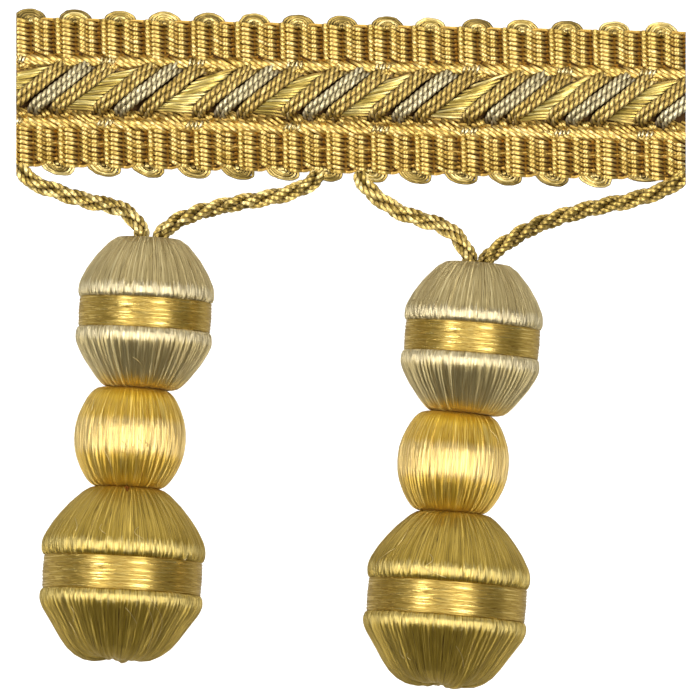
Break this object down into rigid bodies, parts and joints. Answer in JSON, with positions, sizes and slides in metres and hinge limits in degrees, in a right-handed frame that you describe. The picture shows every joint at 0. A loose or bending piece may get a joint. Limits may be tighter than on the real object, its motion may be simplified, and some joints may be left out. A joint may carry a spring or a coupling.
{
  "type": "beaded fringe",
  "caption": "Cut length of gold braid heading with slanting plied cords and hanging tassels of silk-covered beads, laid flat on a surface.",
  "frame": {"origin": "middle of the heading's flat back, on the surface that the fringe lies on", "axes": "+X along the heading to the right, +Y up its width away from the tassels, +Z out of its face"},
  "size_m": [0.1006, 0.1004, 0.0245],
  "materials": {
    "braid_yarn": "satin",
    "cream_cord": "satin",
    "yellow_floss": "satin",
    "cream_floss": "satin",
    "amber_floss": "satin",
    "olive_floss": "satin"
  },
  "bodies": {
    "root": {"bottom_band_1": "yellow_floss", "bottom_band_2": "yellow_floss", "bottom_bead_1": "olive_floss", "bottom_bead_2": "olive_floss", "braid_tape": "braid_yarn", "floss_core": "yellow_floss", "loop_cord_1_left": "braid_yarn", "loop_cord_1_right": "braid_yarn", "loop_cord_2_left": "braid_yarn", "loop_cord_2_right": "braid_yarn", "middle_bead_1": "amber_floss", "middle_bead_2": "amber_floss", "top_band_1": "yellow_floss", "top_band_2": "yellow_floss", "top_bead_1": "cream_floss", "top_bead_2": "cream_floss", "wrap_1_cream": "cream_cord", "wrap_1_lower": "braid_yarn", "wrap_1_upper": "braid_yarn", "wrap_2_cream": "cream_cord", "wrap_2_lower": "braid_yarn", "wrap_2_upper": "braid_yarn", "wrap_3_cream": "cream_cord", "wrap_3_lower": "braid_yarn", "wrap_3_upper": "braid_yarn", "wrap_4_cream": "cream_cord", "wrap_4_lower": "braid_yarn", "wrap_4_upper": "braid_yarn", "wrap_5_cream": "cream_cord", "wrap_5_lower": "braid_yarn", "wrap_5_upper": "braid_yarn", "wrap_6_cream": "cream_cord", "wrap_6_lower": "braid_yarn", "wrap_6_upper": "braid_yarn", "wrap_7_cream": "cream_cord", "wrap_7_lower": "braid_yarn", "wrap_7_upper": "braid_yarn", "wrap_8_cream": "cream_cord", "wrap_8_upper": "braid_yarn"}
  },
  "joints": []
}
